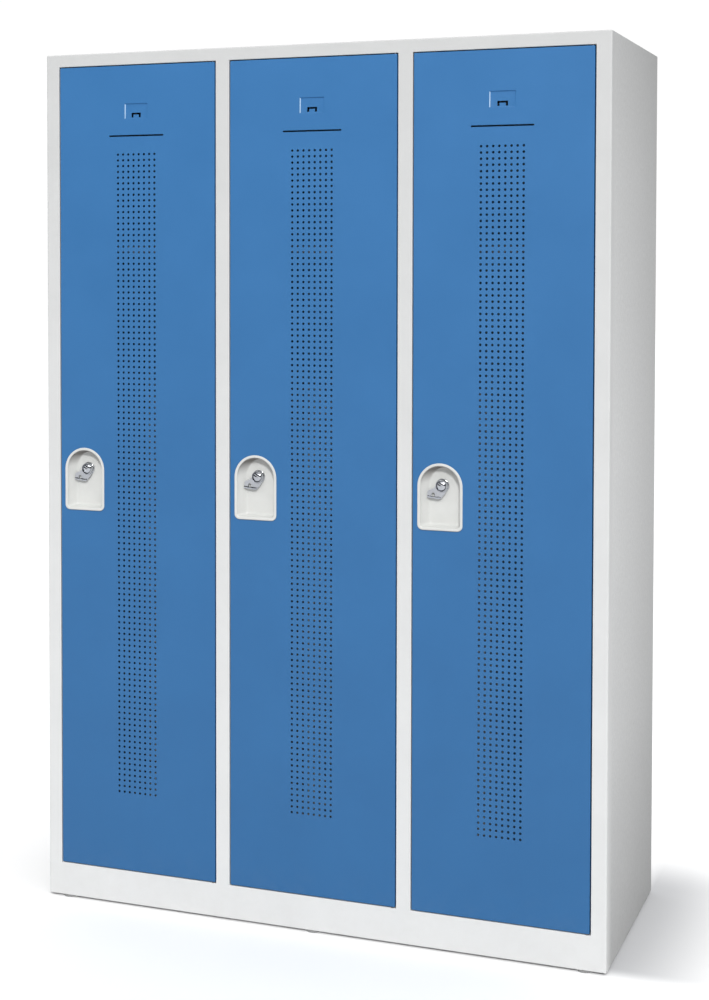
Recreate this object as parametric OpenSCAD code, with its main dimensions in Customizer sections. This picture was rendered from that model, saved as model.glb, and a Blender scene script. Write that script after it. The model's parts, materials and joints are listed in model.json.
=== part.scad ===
// Three-door sheet-steel locker cabinet.
// Origin: centre of the footprint on the floor. Doors face -Y, +Z is up.

/* [Cabinet] */
// Overall width
cabinet_w = 1200; // [900:10:1500]
// Overall height
cabinet_h = 1800; // [1500:10:2200]
// Depth from the frame's front face to the back
cabinet_d = 498; // [360:1:620]
// Thickness of the cabinet's sheet steel
sheet_t = 1; // [0.8:0.1:1.5]

/* [Front frame] */
// Width of the outer stiles
stile_w = 30; // [24:1:50]
// Width of the mullions between two doors
mullion_w = 30; // [26:1:60]
// Height of the top rail
top_rail_h = 26; // [22:1:60]
// Height from the floor to the top of the plinth
plinth_h = 74; // [60:1:120]
// Width of the lip that a door closes against
stop_lip = 10; // [8:1:14]
// Space between a closed door's back and the lip
stop_gap = 2; // [1.5:0.5:4]
// Height of the glides under the base
glide_h = 4; // [3:1:20]
// Radius of the glides
glide_r = 14; // [8:1:16]

/* [Doors] */
// Thickness of a door over its folded edges
door_d = 20; // [18:1:28]
// Gap along the door's lock side, top and bottom
door_gap = 2; // [1.5:0.5:4]
// Gap along the door's hinge side
hinge_gap = 2.5; // [2.5:0.5:4]
// Width of the folded flange on the door's back
door_flange = 13; // [10:1:20]
// Distance of the hinge axis from the door's edge and from its front face
pivot_in = 5; // [5:0.5:6]
// Width of the stiffening channel on the door's back
stiffener_w = 30; // [20:1:40]

/* [Label recess and letter slot] */
// Width of the label recess
label_w = 52; // [40:1:90]
// Height of the label recess
label_h = 33; // [24:1:50]
// Depth of the label recess
label_d = 0.5; // [0.3:0.1:0.6]
// Distance from the door's top edge down to the label recess
label_drop = 80; // [50:1:100]
// Length of the letter slot
slot_w = 125; // [90:1:160]
// Height of the letter slot
slot_h = 4; // [3:0.5:6]
// Distance from the door's top edge down to the letter slot
slot_drop = 147; // [140:1:200]

/* [Handle] */
// Width of the recess handle
handle_w = 92; // [84:1:104]
// Height of the recess handle
handle_h = 133; // [120:1:170]
// Height of the handle's lower edge above the floor
handle_z = 836; // [700:1:1000]
// Distance of the handle from the door's lock-side edge
handle_in = 10; // [6:1:20]
// Width of the handle's front rim
rim_w = 6; // [4:1:9]
// How far the rim stands in front of the door
rim_proud = 2; // [1:0.5:3]
// Wall thickness of the handle shell
shell_t = 2; // [1.5:0.5:3]
// Radius of the handle's lower corners
handle_corner = 11; // [8:1:20]
// Height of the ramp at the foot of the recess
ramp_h = 12; // [6:1:20]

/* [Turn latch] */
// Radius of the rosette
rosette_r = 14; // [12:0.5:18]
// Radius of the spindle
spindle_r = 6; // [4:0.5:7]
// Length of the lever from the spindle's centre
lever_l = 29; // [22:1:32]
// Direction of the lever at rest, seen from the front, counter-clockwise from the right
lever_angle = 225; // [200:1:250]
// Length of the cam from the spindle's centre
cam_l = 56; // [54:1:57]
// Width of the cam
cam_w = 14; // [12:1:18]
// Thickness of the cam
cam_t = 3; // [2:0.5:4]

/* [Hinge pins] */
// Radius of a hinge pin
pin_r = 2.5; // [2:0.25:3]
// Thickness of a hinge bracket
bracket_t = 3; // [2:0.5:5]

/* [Inside fittings] */
// Height of the hat shelf's top above the floor
shelf_z = 1396; // [1200:1:1450]
// Height of the shelf's folded edges
shelf_fold = 20; // [15:1:30]
// Radius of the clothes rail
rail_r = 9; // [7:0.5:12]
// Distance from the shelf's top down to the clothes rail
rail_drop = 62; // [50:1:90]
// Radial play of the hook's ring on the clothes rail
hook_play = 0.6; // [0.4:0.1:1.5]
// Thickness of the hook
hook_t = 5; // [3:0.5:8]
// Radius of the rivets
rivet_r = 2; // [1.5:0.25:3]
// Radius of the wall fixing holes
wall_hole_r = 4; // [3:0.5:6]
// Distance between the two wall fixing holes
wall_hole_gap = 1000; // [600:10:1000]
// Distance of the wall fixing holes from the cabinet's top
wall_hole_drop = 60; // [40:1:120]

/* [Hidden] */
$fn = 48;
cut = 1;
columns = 3;
front_y = rim_proud - (cabinet_d + rim_proud) / 2;
back_y = front_y + cabinet_d;
frame_d = door_d + stop_gap + sheet_t;
opening_w = (cabinet_w - 2 * stile_w - (columns - 1) * mullion_w) / columns;
door_w = opening_w - door_gap - hinge_gap;
door_z = plinth_h + door_gap;
door_h = cabinet_h - top_rail_h - plinth_h - 2 * door_gap;
lips_z = plinth_h + stop_lip;
lips_h = cabinet_h - top_rail_h - plinth_h - 2 * stop_lip;
bracket_w = 24;
pin_hole_r = pin_r + 0.7;
bush_hole_r = pin_r + 0.06;
collar_r = pivot_in - sheet_t - 0.3;
collar_h = 6;
lock_z = handle_z + handle_h - handle_w / 2;
stub_r = spindle_r + 2;
stub_end = door_d + 6.2;
rosette_d = 4;
lever_t = 4;
rail_z = shelf_z - rail_drop;
rail_y = (front_y + back_y) / 2;
hook_hole_r = rail_r + hook_play;
socket_t = 4;
tray_depth = door_d - shell_t;
rivet_ys = [front_y + 70, back_y - 60];
sides = ["left", "middle", "right"];
column_nodes = ["shelf", "clothes_rail", "coat_hook", "door_panel", "door_stiffener", "hinge_pins",
  "handle_shell", "lock_rosette", "lock_nut", "lock_lever", "lock_cam", "cam_screw"];

// Left edge of door opening i
function opening_x(i) = -cabinet_w / 2 + stile_w + i * (opening_w + mullion_w);
// Left edge of door i
function door_x(i) = opening_x(i) + door_gap;
// Hinge axis of door i
function hinge_x(i) = door_x(i) + door_w - pivot_in;
// Centre of mullion i
function mullion_x(i) = opening_x(i) + opening_w + mullion_w / 2;
// Spindle axis of latch i
function lock_x(i) = door_x(i) + handle_in + handle_w / 2;
// Left and right inner wall of compartment i
function wall_left(i) = i == 0 ? -cabinet_w / 2 + sheet_t : mullion_x(i - 1) + sheet_t / 2;
function wall_right(i) = i == columns - 1 ? cabinet_w / 2 - sheet_t : mullion_x(i) - sheet_t / 2;

// A box from its lowest to its highest corner
module block(low, high) {
  translate(low) cube([high[0] - low[0], high[1] - low[1], high[2] - low[2]]);
}

// A flat outline seen from the front, made solid from depth y0 to y1 behind the front face
module upright(y0, y1) {
  translate([0, front_y + y1, 0]) rotate([90, 0, 0]) linear_extrude(y1 - y0) children();
}

// A cylinder along Y, from depth y0 to y1 behind the front face
module stud(x, z, r, y0, y1) {
  upright(y0, y1) translate([x, z]) circle(r);
}

// Outline with a half-round top, centred on X = 0 and standing on 0
module arch(w, h, corner) {
  translate([0, h - w / 2]) circle(d = w);
  translate([-w / 2, corner]) square([w, h - w / 2 - corner]);
  translate([-w / 2 + corner, 0]) square([w - 2 * corner, h / 2]);
  for (side = [-1, 1]) translate([side * (w / 2 - corner), corner]) circle(corner);
}

// The handle's outline, drawn in by a margin, in place on door i
module handle_outline(i, margin) {
  translate([lock_x(i), handle_z + margin])
    arch(handle_w - 2 * margin, handle_h - 2 * margin, max(handle_corner - margin, 1));
}

// A piece that is drawn on the +X side and turned over for the -X side
module on_side(side) {
  mirror([side > 0 ? 0 : 1, 0, 0]) children();
}

// Cylinders along X from x0 to x1 at the places of the shelf rivets
module rivet_row(x0, x1) {
  for (y = rivet_ys) translate([x0, y, shelf_z - shelf_fold / 2])
    rotate([0, 90, 0]) cylinder(r = rivet_r, h = x1 - x0);
}

module side_panel(side) {
  edge = cabinet_w / 2;
  color("gainsboro") on_side(side) difference() {
    block([edge - sheet_t, front_y + sheet_t, glide_h], [edge, back_y - sheet_t, cabinet_h - sheet_t]);
    rivet_row(edge - sheet_t - cut, edge + cut);
  }
}

module back_panel() {
  color("gainsboro") difference() {
    block([-cabinet_w / 2, back_y - sheet_t, glide_h], [cabinet_w / 2, back_y, cabinet_h - sheet_t]);
    for (side = [-1, 1])
      stud(side * wall_hole_gap / 2, cabinet_h - wall_hole_drop, wall_hole_r,
           cabinet_d - sheet_t - cut, cabinet_d + cut);
  }
}

module top_panel() {
  color("gainsboro")
    block([-cabinet_w / 2, front_y, cabinet_h - sheet_t], [cabinet_w / 2, back_y, cabinet_h]);
}

module floor_panel() {
  color("gainsboro")
    block([-cabinet_w / 2 + sheet_t, front_y + frame_d, plinth_h - sheet_t],
          [cabinet_w / 2 - sheet_t, back_y - sheet_t, plinth_h]);
}

module partition(i) {
  x = mullion_x(i);
  color("gainsboro") difference() {
    union() {
      block([x - sheet_t / 2, front_y + frame_d, plinth_h],
            [x + sheet_t / 2, back_y - sheet_t, cabinet_h - sheet_t]);
      block([x - sheet_t / 2, front_y + sheet_t, lips_z],
            [x + sheet_t / 2, front_y + frame_d + cut, lips_z + lips_h]);
    }
    rivet_row(x - sheet_t, x + sheet_t);
  }
}

// Folded stile: front face, flange inside the side panel, return and stop lip
module stile(side) {
  edge = cabinet_w / 2;
  color("whitesmoke") on_side(side) {
    block([edge - stile_w, front_y, glide_h], [edge, front_y + sheet_t, cabinet_h - sheet_t]);
    block([edge - 2 * sheet_t, front_y, glide_h],
          [edge - sheet_t, front_y + frame_d, cabinet_h - sheet_t]);
    block([edge - stile_w, front_y, glide_h],
          [edge - stile_w + sheet_t, front_y + frame_d, cabinet_h - sheet_t]);
    block([edge - stile_w - stop_lip, front_y + frame_d - sheet_t, lips_z],
          [edge - stile_w + sheet_t, front_y + frame_d, lips_z + lips_h]);
  }
}

// Folded mullion: front face, two returns and a stop lip for the door on each side
module mullion(i) {
  z0 = plinth_h;
  z1 = cabinet_h - top_rail_h;
  color("whitesmoke") translate([mullion_x(i), 0, 0]) {
    block([-mullion_w / 2, front_y, z0], [mullion_w / 2, front_y + sheet_t, z1]);
    for (side = [-1, 1]) on_side(side) {
      block([mullion_w / 2 - sheet_t, front_y, z0],
            [mullion_w / 2, front_y + frame_d - sheet_t, z1]);
      block([mullion_w / 2 - sheet_t, front_y + frame_d - sheet_t, lips_z],
            [mullion_w / 2 + stop_lip, front_y + frame_d, lips_z + lips_h]);
    }
  }
}

// Folded top rail, drilled for the upper hinge pins
module top_rail() {
  x = cabinet_w / 2 - stile_w;
  z0 = cabinet_h - top_rail_h;
  z1 = cabinet_h - sheet_t;
  color("whitesmoke") difference() {
    union() {
      block([-x, front_y, z0], [x, front_y + sheet_t, z1]);
      block([-x, front_y, z0], [x, front_y + frame_d, z0 + sheet_t]);
      block([-x, front_y + frame_d - sheet_t, z0 - stop_lip], [x, front_y + frame_d, z0 + sheet_t]);
      block([-x, front_y, z1 - sheet_t], [x, front_y + frame_d / 2, z1]);
    }
    for (i = [0:columns - 1]) translate([hinge_x(i), front_y + pivot_in, z0 - cut])
      cylinder(r = pin_hole_r, h = sheet_t + 2 * cut);
  }
}

// Folded plinth, drilled for the lower hinge pins
module plinth() {
  x = cabinet_w / 2 - stile_w;
  color("whitesmoke") difference() {
    union() {
      block([-x, front_y, glide_h], [x, front_y + sheet_t, plinth_h]);
      block([-x, front_y, plinth_h - sheet_t], [x, front_y + frame_d, plinth_h]);
      block([-x, front_y + frame_d - sheet_t, plinth_h - sheet_t], [x, front_y + frame_d, lips_z]);
      block([-x, front_y, glide_h], [x, front_y + 2 * glide_r, glide_h + sheet_t]);
    }
    for (i = [0:columns - 1])
      translate([hinge_x(i), front_y + pivot_in, plinth_h - sheet_t - cut])
        cylinder(r = pin_hole_r, h = sheet_t + 2 * cut);
  }
}

// Folded rail under the back of the cabinet floor
module base_rail() {
  x = cabinet_w / 2 - sheet_t;
  y = back_y - sheet_t;
  color("gainsboro") {
    block([-x, y - sheet_t, glide_h], [x, y, plinth_h - sheet_t]);
    block([-x, y - 2 * glide_r, glide_h], [x, y, glide_h + sheet_t]);
    block([-x, y - 2 * glide_r, plinth_h - 2 * sheet_t], [x, y, plinth_h - sheet_t]);
  }
}

// Round plastic glides under the plinth and the base rail
module glides() {
  x = cabinet_w / 2 - stile_w - glide_r;
  color("dimgray")
    for (place = [-x, 0, x], y = [front_y + glide_r, back_y - sheet_t - glide_r])
      translate([place, y, 0]) cylinder(r = glide_r, h = glide_h);
}

// Shelf with its four edges folded down
module shelf(i) {
  x0 = wall_left(i);
  x1 = wall_right(i);
  y0 = front_y + frame_d + 6;
  y1 = back_y - sheet_t;
  z0 = shelf_z - shelf_fold;
  color("gainsboro") difference() {
    block([x0, y0, z0], [x1, y1, shelf_z]);
    block([x0 + sheet_t, y0 + sheet_t, z0 - cut], [x1 - sheet_t, y1 - sheet_t, shelf_z - sheet_t]);
    rivet_row(x0 - cut, x0 + sheet_t + cut);
    rivet_row(x1 - sheet_t - cut, x1 + cut);
  }
}

// Clothes rail, a round tube across the compartment
module clothes_rail(i) {
  length = wall_right(i) - wall_left(i);
  color("silver") translate([wall_left(i), rail_y, rail_z]) rotate([0, 90, 0]) difference() {
    cylinder(r = rail_r, h = length);
    translate([0, 0, -cut]) cylinder(r = rail_r - 1.2, h = length + 2 * cut);
  }
}

// Round flanged sockets that hold the clothes rails at the walls
module rail_sockets() {
  color("silver")
    for (i = [0:columns - 1], x = [wall_left(i), wall_right(i) - socket_t])
      translate([x, rail_y, rail_z]) rotate([0, 90, 0]) difference() {
        cylinder(r = rail_r + 5, h = socket_t);
        translate([0, 0, -cut]) cylinder(r = rail_r, h = socket_t + 2 * cut);
      }
}

// Double hook of flat steel, its ring free on the clothes rail
module coat_hook(i) {
  ring_r = hook_hole_r + 4;
  bend_r = 12;
  wire = 6;
  drop = ring_r + 26;
  color("silver")
    translate([(wall_left(i) + wall_right(i) - hook_t) / 2, rail_y, rail_z + rail_r - hook_hole_r])
      rotate([90, 0, 90]) linear_extrude(hook_t) difference() {
        union() {
          circle(ring_r);
          translate([-wire / 2, -drop]) square([wire, drop - hook_hole_r - 1]);
          for (side = [-1, 1]) translate([side * (bend_r - wire / 2), -drop]) {
            difference() {
              circle(bend_r);
              circle(bend_r - wire);
              translate([-bend_r - cut, 0]) square([2 * bend_r + 2 * cut, bend_r + cut]);
            }
            translate([side * (bend_r - wire / 2) - wire / 2, 0]) square([wire, 9]);
            translate([side * (bend_r - wire / 2), 9]) circle(wire / 2);
          }
        }
        circle(hook_hole_r);
      }
}

// Hinge brackets in the top rail and in the plinth, one bush hole in each
module hinge_brackets() {
  top_z = cabinet_h - top_rail_h + sheet_t;
  bottom_z = plinth_h - sheet_t - bracket_t;
  color("silver") for (i = [0:columns - 1], z = [bottom_z, top_z]) {
    x1 = opening_x(i) + opening_w;
    difference() {
      block([x1 - bracket_w, front_y + sheet_t, z], [x1, front_y + frame_d - sheet_t, z + bracket_t]);
      translate([hinge_x(i), front_y + pivot_in, z - cut]) cylinder(r = bush_hole_r, h = bracket_t + 2 * cut);
    }
  }
}

// Nylon bearing washers under the doors
module hinge_washers() {
  color("white") for (i = [0:columns - 1])
    translate([hinge_x(i), front_y + pivot_in, plinth_h]) difference() {
      cylinder(r = pivot_in - 0.2, h = door_gap - 0.1);
      translate([0, 0, -cut]) cylinder(r = bush_hole_r, h = door_gap + 2 * cut);
    }
}

// Rubber buffers on the stop lips, two for each door
module door_buffers() {
  color("dimgray") for (i = [0:columns - 1], z = [door_z + 120, door_z + door_h - 120])
    stud(opening_x(i) + stop_lip / 2, z, stop_lip / 2 - 1, door_d + 0.2, door_d + stop_gap);
}

// Flush rivets through the walls and the shelf flanges
module rivets() {
  edge = cabinet_w / 2;
  color("gainsboro") {
    for (side = [-1, 1]) on_side(side) rivet_row(edge - 2 * sheet_t, edge);
    for (i = [0:columns - 2])
      rivet_row(mullion_x(i) - 1.5 * sheet_t, mullion_x(i) + 1.5 * sheet_t);
  }
}

// Door of one folded sheet, open at the back, with its cut-outs
module door_panel(i) {
  x = door_x(i);
  back = front_y + door_d;
  centre = x + door_w / 2;
  top = door_z + door_h;
  color("steelblue") difference() {
    block([x, front_y, door_z], [x + door_w, back, top]);
    block([x + sheet_t, front_y + sheet_t, door_z + sheet_t],
          [x + door_w - sheet_t, back - sheet_t, top - sheet_t]);
    block([x + door_flange, back - sheet_t - cut, door_z + door_flange],
          [x + door_w - door_flange, back + cut, top - door_flange]);
    upright(-cut, sheet_t + cut) handle_outline(i, rim_w - 0.5);
    block([centre - label_w / 2, front_y - cut, top - label_drop - label_h],
          [centre + label_w / 2, front_y + label_d, top - label_drop]);
    upright(-cut, sheet_t + cut) translate([centre, top - slot_drop]) {
      square([slot_w - slot_h, slot_h], center = true);
      for (side = [-1, 1]) translate([side * (slot_w - slot_h) / 2, 0]) circle(slot_h / 2);
    }
    translate([hinge_x(i), front_y + pivot_in, door_z - cut]) cylinder(r = pin_r, h = door_h + 2 * cut);
  }
}

// Channel that stiffens the door behind its front sheet
module door_stiffener(i) {
  x0 = door_x(i) + door_w * 0.72;
  x1 = x0 + stiffener_w;
  z0 = door_z + 2 * door_flange;
  z1 = door_z + door_h - 2 * door_flange;
  y0 = front_y + sheet_t;
  color("steelblue") difference() {
    block([x0, y0, z0], [x1, y0 + door_d * 0.7, z1]);
    block([x0 + sheet_t, y0 - cut, z0 - cut], [x1 - sheet_t, y0 + door_d * 0.7 - sheet_t, z1 + cut]);
  }
}

// Upper and lower hinge pin of a door, each with a collar inside the door's edge
module hinge_pins(i) {
  inner = door_z + sheet_t;
  reach = bracket_t + sheet_t + door_gap + 1;
  color("silver") translate([hinge_x(i), front_y + pivot_in, 0]) {
    translate([0, 0, door_z - reach]) cylinder(r = pin_r, h = reach + sheet_t + collar_h);
    translate([0, 0, inner]) cylinder(r = collar_r, h = collar_h);
    translate([0, 0, door_z + door_h - sheet_t - collar_h]) {
      cylinder(r = pin_r, h = collar_h + sheet_t + reach);
      cylinder(r = collar_r, h = collar_h);
    }
  }
}

// Moulded recess handle: rim in front of the door, pocket behind it, ramp at its foot
module handle_shell(i) {
  foot = handle_z + rim_w + shell_t;
  color("ivory") {
    difference() {
      union() {
        upright(-rim_proud, 0) handle_outline(i, 0);
        upright(-rim_proud, door_d) handle_outline(i, rim_w);
      }
      upright(-rim_proud - cut, tray_depth) handle_outline(i, rim_w + shell_t);
      stud(lock_x(i), lock_z, stub_r, -rim_proud, door_d + cut);
    }
    intersection() {
      upright(0, tray_depth + cut / 2) handle_outline(i, rim_w + shell_t / 2);
      translate([lock_x(i) - handle_w / 2, front_y, foot]) rotate([90, 0, 90]) linear_extrude(handle_w)
        polygon([[0, -shell_t], [tray_depth + cut, -shell_t], [tray_depth + cut, ramp_h]]);
    }
  }
}

// Round rosette with a hollow stub through the shell
module lock_rosette(i) {
  x = lock_x(i);
  color("silver") difference() {
    union() {
      stud(x, lock_z, rosette_r, tray_depth - rosette_d, tray_depth);
      stud(x, lock_z, stub_r, tray_depth - rosette_d, stub_end);
    }
    stud(x, lock_z, spindle_r + 0.06, 0, stub_end + cut);
  }
}

// Hexagon nut on the rosette's stub
module lock_nut(i) {
  color("silver") difference() {
    upright(door_d, door_d + 4) translate([lock_x(i), lock_z]) circle(r = stub_r + 6, $fn = 6);
    stud(lock_x(i), lock_z, stub_r, door_d - cut, door_d + 4 + cut);
  }
}

// Spindle with its cap and the lever that takes a padlock
module lock_lever(i) {
  face = tray_depth - rosette_d - 0.5;
  cam_end = stub_end + 0.3 + cam_t;
  arm_w = 10;
  eye_r = 3.5;
  color("silver") difference() {
    union() {
      stud(lock_x(i), lock_z, spindle_r, face - 1, cam_end);
      stud(lock_x(i), lock_z, spindle_r + 4, face - lever_t - 2, face);
      upright(face - lever_t, face) translate([lock_x(i), lock_z]) rotate(lever_angle) {
        translate([0, -arm_w / 2]) square([lever_l - arm_w / 2, arm_w]);
        translate([lever_l - arm_w / 2, 0]) circle(arm_w / 2);
      }
    }
    upright(face - lever_t - cut, face + cut) translate([lock_x(i), lock_z]) rotate(lever_angle)
      translate([lever_l - arm_w / 2, 0]) circle(eye_r);
    stud(lock_x(i), lock_z, 2, cam_end - 8, cam_end + cut);
  }
}

// Cam that points up when the latch is open and behind the stop lip when it is shut
module lock_cam(i) {
  color("silver") difference() {
    upright(stub_end + 0.3, stub_end + 0.3 + cam_t) translate([lock_x(i), lock_z]) {
      circle(spindle_r + 3);
      translate([-cam_w / 2, 0]) square([cam_w, cam_l - cam_w / 2]);
      translate([0, cam_l - cam_w / 2]) circle(cam_w / 2);
    }
    stud(lock_x(i), lock_z, spindle_r, stub_end, stub_end + cam_t + cut);
  }
}

// Screw that holds the cam on the spindle
module cam_screw(i) {
  seat = stub_end + 0.3 + cam_t;
  color("silver") {
    stud(lock_x(i), lock_z, 2, seat - 8, seat + 1);
    stud(lock_x(i), lock_z, spindle_r + 2, seat, seat + 2.5);
  }
}

side_panel(-1);  // side_panel_left
side_panel(1);  // side_panel_right
back_panel();
top_panel();
floor_panel();
partition(0);  // partition_left
partition(1);  // partition_right
stile(-1);  // stile_left
stile(1);  // stile_right
mullion(0);  // mullion_left
mullion(1);  // mullion_right
top_rail();
plinth();
base_rail();
glides();
rail_sockets();
hinge_brackets();
hinge_washers();
door_buffers();
rivets();
for (i = [0:columns - 1]) {
  shelf(i);
  clothes_rail(i);
  coat_hook(i);
  door_panel(i);
  door_stiffener(i);
  hinge_pins(i);
  handle_shell(i);
  lock_rosette(i);
  lock_nut(i);
  lock_lever(i);
  lock_cam(i);
  cam_screw(i);
}
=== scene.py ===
import json
import math

import bmesh
import bpy
from mathutils import Matrix, Vector


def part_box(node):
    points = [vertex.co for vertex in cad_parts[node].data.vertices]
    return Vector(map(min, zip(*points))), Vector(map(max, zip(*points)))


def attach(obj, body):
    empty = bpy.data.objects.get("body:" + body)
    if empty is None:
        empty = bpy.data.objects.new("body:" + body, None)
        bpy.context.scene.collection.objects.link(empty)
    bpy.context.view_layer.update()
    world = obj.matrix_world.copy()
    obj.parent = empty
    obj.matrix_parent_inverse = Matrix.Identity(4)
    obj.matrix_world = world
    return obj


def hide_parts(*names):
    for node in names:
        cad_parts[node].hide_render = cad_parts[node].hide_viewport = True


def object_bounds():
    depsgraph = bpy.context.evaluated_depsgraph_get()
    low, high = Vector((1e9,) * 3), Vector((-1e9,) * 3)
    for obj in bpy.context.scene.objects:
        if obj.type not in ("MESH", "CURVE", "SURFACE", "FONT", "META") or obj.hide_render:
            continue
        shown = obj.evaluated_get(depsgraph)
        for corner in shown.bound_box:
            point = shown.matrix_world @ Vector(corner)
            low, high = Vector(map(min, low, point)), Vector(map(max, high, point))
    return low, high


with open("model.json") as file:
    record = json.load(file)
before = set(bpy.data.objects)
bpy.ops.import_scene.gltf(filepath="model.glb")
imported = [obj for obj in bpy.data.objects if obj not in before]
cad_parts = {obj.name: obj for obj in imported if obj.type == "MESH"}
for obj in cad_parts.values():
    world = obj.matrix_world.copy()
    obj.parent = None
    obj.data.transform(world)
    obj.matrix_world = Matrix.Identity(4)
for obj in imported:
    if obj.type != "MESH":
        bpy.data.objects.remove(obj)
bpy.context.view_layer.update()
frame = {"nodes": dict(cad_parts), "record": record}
print("frame loaded:", len(frame["nodes"]), "nodes")

mm = 0.001
sideNames = ("left", "middle", "right")
lowCorner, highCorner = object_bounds()
doorBoxes = {side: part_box("door_panel_" + side) for side in sideNames}
frontY = doorBoxes["left"][0].y          # front face of the doors and of the frame
doorDepth = doorBoxes["left"][1].y - frontY


# Lengths from millimetres to metres; whole numbers are counts and stay as they are
def inMetres(sizes):
    return {key: value * mm if isinstance(value, float) else value for key, value in sizes.items()}


def newPiece(name, mesh):
    piece = bpy.data.objects.new(name, mesh)
    bpy.context.scene.collection.objects.link(piece)
    return piece


def meshFrom(name, shape):
    mesh = bpy.data.meshes.new(name)
    shape.to_mesh(mesh)
    shape.free()
    return mesh


# A closed outline in the XZ plane, as a list of (x, z), counter-clockwise from the front
def roundedBox(x0, z0, x1, z1, radius, steps=4):
    corners = ((x1 - radius, z0 + radius, -90), (x1 - radius, z1 - radius, 0),
               (x0 + radius, z1 - radius, 90), (x0 + radius, z0 + radius, 180))
    points = []
    for cx, cz, start in corners:
        for step in range(steps + 1):
            turn = math.radians(start + 90 * step / steps)
            points.append((cx + radius * math.cos(turn), cz + radius * math.sin(turn)))
    return points


# The same for a half-round top on a body with two rounded lower corners
def archOutline(cx, z0, z1, width, corner, topSteps=28, cornerSteps=6):
    half = width / 2
    points = []
    for step in range(cornerSteps + 1):
        turn = math.radians(-90 + 90 * step / cornerSteps)
        points.append((cx + half - corner + corner * math.cos(turn),
                       z0 + corner + corner * math.sin(turn)))
    for step in range(topSteps + 1):
        turn = math.pi * step / topSteps
        points.append((cx + half * math.cos(turn), z1 - half + half * math.sin(turn)))
    for step in range(cornerSteps + 1):
        turn = math.radians(180 + 90 * step / cornerSteps)
        points.append((cx - half + corner + corner * math.cos(turn),
                       z0 + corner + corner * math.sin(turn)))
    return points


def slotOutline(cx, cz, width, height, steps=6):
    return roundedBox(cx - width / 2, cz - height / 2, cx + width / 2, cz + height / 2,
                      height / 2 * 0.999, steps)


# Adds a ring of vertices at depth y behind the front face
def addLoop(shape, outline, y):
    return [shape.verts.new((x, frontY + y, z)) for x, z in outline]


# Joins rings of equal length one after another with faces
def bridge(shape, loops):
    for ring, following in zip(loops, loops[1:]):
        count = len(ring)
        for k in range(count):
            n = (k + 1) % count
            shape.faces.new((ring[k], ring[n], following[n], following[k]))


# Turns all faces the same way, with the flat front facing -Y, and merges doubles
def tidyFaces(shape, distance=2e-6):
    bmesh.ops.remove_doubles(shape, verts=shape.verts, dist=distance)
    bmesh.ops.recalc_face_normals(shape, faces=shape.faces)
    nearFront = frontY + 0.1 * mm
    front = [f for f in shape.faces if abs(f.normal.y) > 0.9 and f.calc_center_median().y < nearFront]
    if sum(f.normal.y * f.calc_area() for f in front) > 0:
        bmesh.ops.reverse_faces(shape, faces=shape.faces)


# Smooth shading with sharp creases, and normals that keep flat faces flat
def smoothPiece(piece, crease=32):
    piece.data.shade_smooth()
    piece.data.set_sharp_from_angle(angle=math.radians(crease))
    weighted = piece.modifiers.new("flatNormals", "WEIGHTED_NORMAL")
    weighted.keep_sharp = True
    weighted.weight = 80


def applyModifiers(piece):
    graph = bpy.context.evaluated_depsgraph_get()
    graph.update()
    mesh = bpy.data.meshes.new_from_object(piece.evaluated_get(graph))
    piece.modifiers.clear()
    piece.data = mesh
    return piece


# A sheet wall behind an open surface
def thicken(piece, thickness):
    wall = piece.modifiers.new("wall", "SOLIDIFY")
    wall.thickness = thickness
    wall.offset = -1
    wall.use_even_offset = True
    wall.use_quality_normals = True
    return applyModifiers(piece)


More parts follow.
